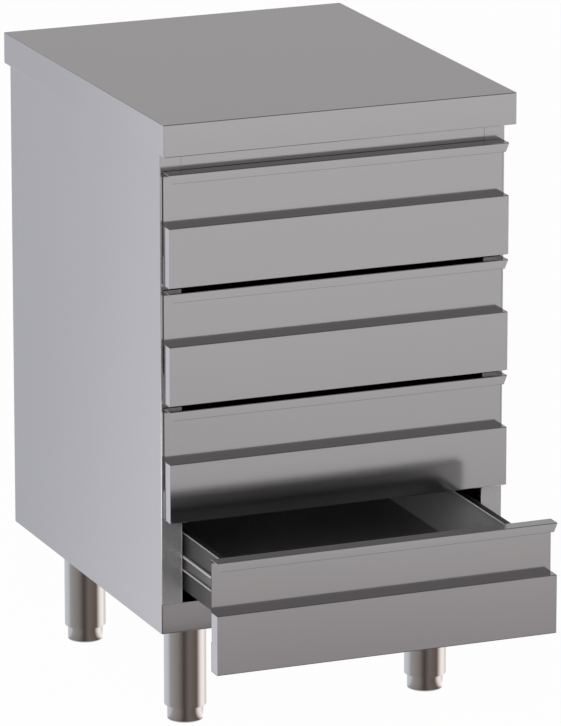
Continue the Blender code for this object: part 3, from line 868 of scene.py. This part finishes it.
ball_count = int((cage_high.y - cage_low.y) / BALL_STEP)
first_ball = (cage_low.y + cage_high.y) / 2 - BALL_STEP * (ball_count - 1) / 2
clear_selection()
bpy.ops.mesh.primitive_uv_sphere_add(segments=10, ring_count=6, radius=BALL_RADIUS)
ball = bpy.context.object
balls = []
for row_height in (cage_low.z + BALL_ROW_INSET, cage_high.z - BALL_ROW_INSET):
    for step in range(ball_count):
        spot = (cage_low.x + BALL_INSET, first_ball + BALL_STEP * step, row_height)
        balls.append(copy_of(ball, "ball", spot))
bpy.data.objects.remove(ball)
join_to(cage, balls)
smooth(cage)
for number, drawn in drawers:
    rolled = (0.0, drawn[1] / 2, drawn[2])
    for side, mirrored in SIDES:
        place = side + "_" + number
        strip = one_of(cage, "ball_strip_" + place, rolled, mirrored)
        dress(strip, screw_zinc, "zinc", "ball_cages_" + number, "ball_cage_" + place)
print("balls in a cage:", len(balls))

# %% [markdown]
# ## Legs and feet
# A leg is a tube with a bush at its foot end. A 72-sided cylinder is round enough to show no corners;
# its lower rim is rounded, and insets make the tube wall and the bush that the foot's stem screws into.

# %% Tube legs
LEG_SIDES = 72
LEG_WALL = 0.0015
LEG_RIM_ROUND = 0.0005
BUSH_RECESS = 0.0015
BORE_DEPTH = 0.060
STEM_RADIUS = 0.012
STEM_PLAY = 0.0003
leg_names = [row + "_" + side for row in ("front", "back") for side in ("left", "right")]


def spot_of(node):
    low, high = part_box(node)
    return (low + high) / 2, low, high


def rim_at(height):
    """A test for the edges of a round rim at one height."""
    return lambda edge, middle: abs(middle.z - height) < TOUCH and fold_angle(edge) > 1.0


leg_middle, leg_low, leg_high = spot_of("leg_front_left")
LEG_RADIUS = (leg_high.x - leg_low.x) / 2
clear_selection()
bpy.ops.mesh.primitive_cylinder_add(vertices=LEG_SIDES, radius=LEG_RADIUS, depth=leg_high.z - leg_low.z,
                                    location=leg_middle)
leg = place_new("tube_leg_front_left")
bpy.ops.object.mode_set(mode="EDIT")
pick(leg, "FACE", lambda face, middle: face.normal.z < -FACING)
bpy.ops.mesh.inset(thickness=LEG_WALL)
extrude((0.0, 0.0, BUSH_RECESS))
bpy.ops.mesh.inset(thickness=LEG_RADIUS - LEG_WALL - STEM_RADIUS - STEM_PLAY)
extrude((0.0, 0.0, BORE_DEPTH))
pick(leg, "EDGE", rim_at(leg_low.z))
bpy.ops.mesh.bevel(offset=LEG_RIM_ROUND, segments=3, affect="EDGES")
smooth(leg)
for name in leg_names:
    away = spot_of("leg_" + name)[0] - leg_middle
    tube = one_of(leg, "tube_leg_" + name, away)
    dress(tube, tube_steel, "leg_steel", "cabinet", "leg_" + name)
print("legs placed, radius", round(LEG_RADIUS, 4))

# %% [markdown]
# The foot is turned from bar: a plain drum with a rounded lower edge, and a threaded stem above it.
# The thread is made by pulling the stem up in short rings, wider and narrower by turns. It only shows
# when a foot is screwed out.

# %% Screw feet
FOOT_HEIGHT = 0.0208
FOOT_LOWER_ROUND = 0.0012
FOOT_UPPER_ROUND = 0.0008
FOOT_TOP_ZONE = 0.0001
THREAD_PITCH = 0.0030
THREAD_DEPTH = 0.0012
foot_middle, foot_low, foot_high = spot_of("foot_front_left")
FOOT_RADIUS = (foot_high.x - foot_low.x) / 2
clear_selection()
bpy.ops.mesh.primitive_cylinder_add(vertices=LEG_SIDES, radius=FOOT_RADIUS, depth=FOOT_HEIGHT,
                                    location=(foot_middle.x, foot_middle.y, FOOT_HEIGHT / 2))
foot = place_new("screw_foot_front_left")
bpy.ops.object.mode_set(mode="EDIT")
pick(foot, "EDGE", rim_at(0.0))
bpy.ops.mesh.bevel(offset=FOOT_LOWER_ROUND, segments=4, affect="EDGES")
pick(foot, "EDGE", rim_at(FOOT_HEIGHT))
bpy.ops.mesh.bevel(offset=FOOT_UPPER_ROUND, segments=3, affect="EDGES")
pick(foot, "FACE", lambda face, middle: face.normal.z > FACING and middle.z > FOOT_HEIGHT - FOOT_TOP_ZONE)
bpy.ops.mesh.inset(thickness=FOOT_RADIUS - FOOT_UPPER_ROUND - STEM_RADIUS)
narrow = (STEM_RADIUS - THREAD_DEPTH) / STEM_RADIUS
turns = int((foot_high.z - FOOT_HEIGHT) / THREAD_PITCH)
foot_axis = (foot_middle.x, foot_middle.y, 0.0)
for turn in range(turns):
    for factor in (narrow, 1 / narrow):
        extrude((0.0, 0.0, THREAD_PITCH / 2))
        bpy.ops.transform.resize(value=(factor, factor, 1.0), center_override=foot_axis)
smooth(foot)
for name in leg_names:
    away = spot_of("foot_" + name)[0] - foot_middle
    drum = one_of(foot, "screw_foot_" + name, away)
    dress(drum, foot_steel, "leg_steel", "foot_" + name, "foot_" + name)
print("feet placed, thread turns", turns)

# %% [markdown]
# ## What stays as drawn
# The back, the rear rail, the uprights, the screws and the board already have the right shape, so the
# CAD nodes stay and only get a finish in their material slots.

# %% Finishes on the CAD nodes
kept = {"back_panel": side_steel, "rear_top_rail": front_steel, "worktop_core": core_board}
for name in nodes:
    if name.startswith("slide_upright"):
        kept[name] = side_steel
    if name.startswith(("worktop_screw", "leg_bolt")):
        kept[name] = screw_zinc
for name, finish in kept.items():
    for slot in nodes[name].material_slots:
        slot.material = finish
print("kept CAD nodes:", len(kept))

# %% [markdown]
# ## The studio
# Polished metal shows the room more than itself, so the room matters. The floor is white paper: what
# the camera, a reflection or a clear pane sees of it is plain white, and a share of ordinary diffuse
# paper is left in so that it keeps the cabinet's shadow.

# %% White floor
FLOOR_SIZE = 40.0
PAPER_TONE = 0.88
PAPER_GLOW = 0.98
clear_selection()
bpy.ops.mesh.primitive_plane_add(size=FLOOR_SIZE)
paper = place_new("paper_floor")
paper_finish, paper_pen = bare_finish("white_paper")
seen = (paper_pen.node("ShaderNodeLightPath", output="Is Camera Ray")
        + paper_pen.node("ShaderNodeLightPath", output="Is Glossy Ray")
        + paper_pen.node("ShaderNodeLightPath", output="Is Transmission Ray"))
matt = paper_pen.node("ShaderNodeBsdfDiffuse", inputs={"Color": grey(PAPER_TONE)})
bright = paper_pen.node("ShaderNodeEmission", inputs={"Color": grey(1.0), "Strength": 1.0})
paper_pen.node("ShaderNodeMixShader", inputs={0: seen * PAPER_GLOW, 1: matt, 2: bright}).to_surface()
paper.data.materials.append(paper_finish)
print("floor laid")

# %% [markdown]
# A photographer shapes metal with cards that only its reflections see. Here they are flat planes that
# lie just over the floor and glow in a tone that soft steps on Object coordinates make up.

# %% Cards that only reflections see
def soft_step(value, start, end, kind="SMOOTHSTEP"):
    """0 before start, 1 after end, and smooth or straight between them."""
    return value.node("ShaderNodeMapRange", {"interpolation_type": kind},
                      {"Value": value, "From Min": start, "From Max": end})


def reflection_only(thing, finish):
    """A stage thing that shows in reflections and nowhere else."""
    thing.data.materials.append(finish)
    thing.visible_camera = False
    thing.visible_diffuse = False
    thing.visible_transmission = False
    thing.visible_shadow = False


def card(name, low, high, height, paint):
    """A flat card on the floor; paint turns its X and Y into a colour."""
    clear_selection()
    middle = ((low[0] + high[0]) / 2, (low[1] + high[1]) / 2, height)
    bpy.ops.mesh.primitive_plane_add(size=1.0, location=middle)
    made = place_new(name, (high[0] - low[0], high[1] - low[1], 0.0))
    finish, pen = bare_finish(name)
    place = pen.node("ShaderNodeTexCoord", output="Object")
    x = pen.node("ShaderNodeSeparateXYZ", inputs={0: place}, output="X")
    y = pen.node("ShaderNodeSeparateXYZ", inputs={0: place}, output="Y")
    pen.node("ShaderNodeEmission", inputs={"Color": paint(pen, x, y), "Strength": 1.0}).to_surface()
    reflection_only(made, finish)


print("card helpers ready")

# %% [markdown]
# A grey card on the floor ahead keeps the fronts calmer than the paper; it is paler the further out it
# lies. A cool card at the left, like a window, lights the whole left side and dims along its length, so
# the side shades off towards the back. A small bright card at the front left is seen by nothing but the
# upright folds, where it draws their fine light lines. Under the cabinet lies its own shade, which
# darkens the lower folds.

# %% Paint and lay the cards
def grey_sweep(pen, x, y):
    """Darker towards the cabinet and at the near left, pale and then white at the far edge."""
    ahead = -1.0 * y
    tone = 0.43 + 0.18 * soft_step(ahead, 0.55, 1.45) + 0.09 * soft_step(ahead, 1.20, 2.60)
    tone = tone + 0.035 * soft_step(x, 0.0, 0.6)
    tone = tone - 0.35 * soft_step(x, -0.30, -0.60) * (1.0 - soft_step(ahead, 2.3, 3.0))
    tone = tone + (0.95 - tone) * soft_step(ahead, 3.4, 4.8)
    pale = blend_colour(pen, soft_step(ahead, 0.8, 1.4), (1.0, 0.95, 0.96, 1.0), (1.0, 0.99, 0.99, 1.0))
    return blend_colour(pen, tone, (0.02, 0.0, 0.0, 1.0), pale)


def window_light(pen, x, y):
    """Along the left side: a point of the card serves the strip of the side that mirrors it."""
    along = y + 2.435 * x + 0.6
    return blend_colour(pen, soft_step(along, -0.22, 0.37, "LINEAR"),
                        (0.905, 0.915, 0.970, 1.0), (0.680, 0.690, 0.740, 1.0))


def edge_light(pen, x, y):
    """A bright band between two plainer ends."""
    band = soft_step(x, -1.9, -1.6) * (1.0 - soft_step(x, -1.2, -1.0))
    return blend_colour(pen, band, grey(0.9), (3.0, 2.95, 2.95, 1.0))


def cabinet_shade(pen, x, y):
    """The cabinet's own shade on the paper under it."""
    return blend_colour(pen, soft_step(y, 0.30, 0.45), grey(0.10), grey(0.45))


card("grey_sweep", (-4.0, -4.8), (2.6, -0.55), height=0.0010, paint=grey_sweep)
card("window_card", (-2.2, -0.15), (-0.26, 5.0), height=0.0012, paint=window_light)
card("shade_card", (-0.32, -0.62), (0.36, 0.45), height=0.0016, paint=cabinet_shade)
card("edge_card", (-1.9, -1.4), (-0.65, -0.16), height=0.0014, paint=edge_light)
print("cards laid")

# %% [markdown]
# A polished tube mirrors everything around it squeezed into a few stripes, so each leg gets a small
# round tent of its own: an open drum that glows on the inside only. The tone depends on the bearing
# from the tube's axis: mid grey at the left, black ahead, warm dark at the front right, a white strip
# at the right, cool white behind. That gives the stripes of a tube in a studio from any side.

# %% The tents' glow
TENT_GLOW = 1.6
TENT_TONES = [(-180, (0.48, 0.47, 0.47)), (-140, (0.33, 0.30, 0.28)), (-116, (0.09, 0.08, 0.075)),
              (-93, (0.24, 0.21, 0.19)), (-58, (0.19, 0.14, 0.12)), (-36, (1.35, 1.25, 1.20)),
              (-18, (1.60, 1.50, 1.45)), (5, (1.05, 0.98, 0.95)), (35, (0.72, 0.66, 0.64)),
              (145, (0.84, 0.88, 0.95)), (163, (0.78, 0.82, 0.88)), (180, (0.48, 0.47, 0.47))]

tent_finish, tent_pen = bare_finish("leg_tent")
around = tent_pen.node("ShaderNodeTexCoord", output="Object")
bearing = tent_pen.node("ShaderNodeTexGradient", {"gradient_type": "RADIAL"}, {"Vector": around},
                        output="Fac")
tent_stops = [(angle / 360 + 0.5, toned(tone, 1 / TENT_GLOW)) for angle, tone in TENT_TONES]
tent_tone = tent_pen.node("ShaderNodeValToRGB", {"stops": tent_stops}, {"Fac": bearing})
tent_glow = tent_pen.node("ShaderNodeEmission", inputs={"Color": tent_tone, "Strength": TENT_GLOW})
tent_clear = tent_pen.node("ShaderNodeBsdfTransparent")
tent_inside = tent_pen.node("ShaderNodeNewGeometry", output="Backfacing")
tent_pen.node("ShaderNodeMixShader", inputs={0: tent_inside, 1: tent_clear, 2: tent_glow}).to_surface()
print("tent tones:", len(TENT_TONES))

# %% [markdown]
# The tents stay where the operator puts them, with their place on the object, because the bearing is
# read from Object coordinates and has to start at the tube's own axis.

# %% Tents around the legs
TENT_RADIUS = 0.066
TENT_HEIGHT = 0.150
TENT_BOTTOM = 0.0018
for name in leg_names:
    axis_at = spot_of("leg_" + name)[0]
    clear_selection()
    bpy.ops.mesh.primitive_cylinder_add(vertices=48, radius=TENT_RADIUS, depth=TENT_HEIGHT,
                                        location=(axis_at.x, axis_at.y, TENT_BOTTOM + TENT_HEIGHT / 2))
    tent = bpy.context.object
    tent.name = "leg_tent_" + name
    bpy.ops.object.mode_set(mode="EDIT")
    pick(tent, "FACE", lambda face, middle: face.normal.z > FACING)
    bpy.ops.mesh.delete(type="FACE")
    clear_selection()
    reflection_only(tent, tent_finish)
print("tents:", len(leg_names))

# %% [markdown]
# The room itself is a plain grey, paler behind the cabinet than ahead of it or overhead. One large soft
# lamp hangs at the upper left. Reflections leave the lamp out, so no glint breaks the flat tops.

# %% Room light and lamp
ROOM_AHEAD = (0.31, 0.30, 0.30, 1.0)
ROOM_BEHIND = (0.485, 0.474, 0.480, 1.0)
ROOM_OVERHEAD = grey(0.20)
world = bpy.data.worlds.new("pale_room")
bpy.context.scene.world = world
world.use_nodes = True
room = world.node_tree
room_pen = Wire(room)
heading = room_pen.node("ShaderNodeTexCoord", output="Generated")
height = room_pen.node("ShaderNodeSeparateXYZ", inputs={0: heading}, output="Z")
depth = room_pen.node("ShaderNodeSeparateXYZ", inputs={0: heading}, output="Y")
eye_level = blend_colour(room_pen, soft_step(depth, -0.3, 0.3), ROOM_AHEAD, ROOM_BEHIND)
room_colour = blend_colour(room_pen, soft_step(height, 0.36, 0.85), eye_level, ROOM_OVERHEAD)
room_colour.feed(room.nodes["Background"], "Color")


def soft_lamp(name, spot, target, size, radiance):
    """A square area lamp of a given brightness that looks at a target."""
    data = bpy.data.lights.new(name, "AREA")
    data.shape = "SQUARE"
    data.size = size
    data.energy = radiance * math.pi * size * size
    lamp = bpy.data.objects.new(name, data)
    bpy.context.scene.collection.objects.link(lamp)
    lamp.location = spot
    lamp.rotation_euler = (Vector(target) - Vector(spot)).to_track_quat("-Z", "Y").to_euler()
    lamp.visible_glossy = False


soft_lamp("window_lamp", spot=(-1.6, -2.8, 1.7), target=(0.0, -0.2, 0.3), size=2.0, radiance=5.0)
print("lamps:", [item.name for item in bpy.data.lights])

# %% [markdown]
# ## The camera
# The view was found by fitting a camera to the cabinet's straight edges: it stands far off at the
# front left, looks down a little, and has a long lens, so parallel edges stay nearly parallel.

# %% Camera
CAMERA_SPOT = (-3.25046, -7.90830, 2.80927)
CAMERA_PITCH = 15.423
CAMERA_YAW = 22.365
FOCAL_PIXELS = 6576.0
FRAME_HEIGHT = 726
SENSOR = 36.0
camera_data = bpy.data.cameras.new("photo_camera")
camera_data.sensor_width = SENSOR
camera_data.lens = SENSOR * FOCAL_PIXELS / FRAME_HEIGHT
camera_data.clip_end = 200.0
camera = bpy.data.objects.new("photo_camera", camera_data)
bpy.context.scene.collection.objects.link(camera)
camera.location = CAMERA_SPOT
camera.rotation_euler = (math.radians(90.0 - CAMERA_PITCH), 0.0, math.radians(-CAMERA_YAW))
bpy.context.scene.camera = camera
bpy.context.scene.view_settings.view_transform = "Standard"
print("lens", round(camera_data.lens, 1), "mm")
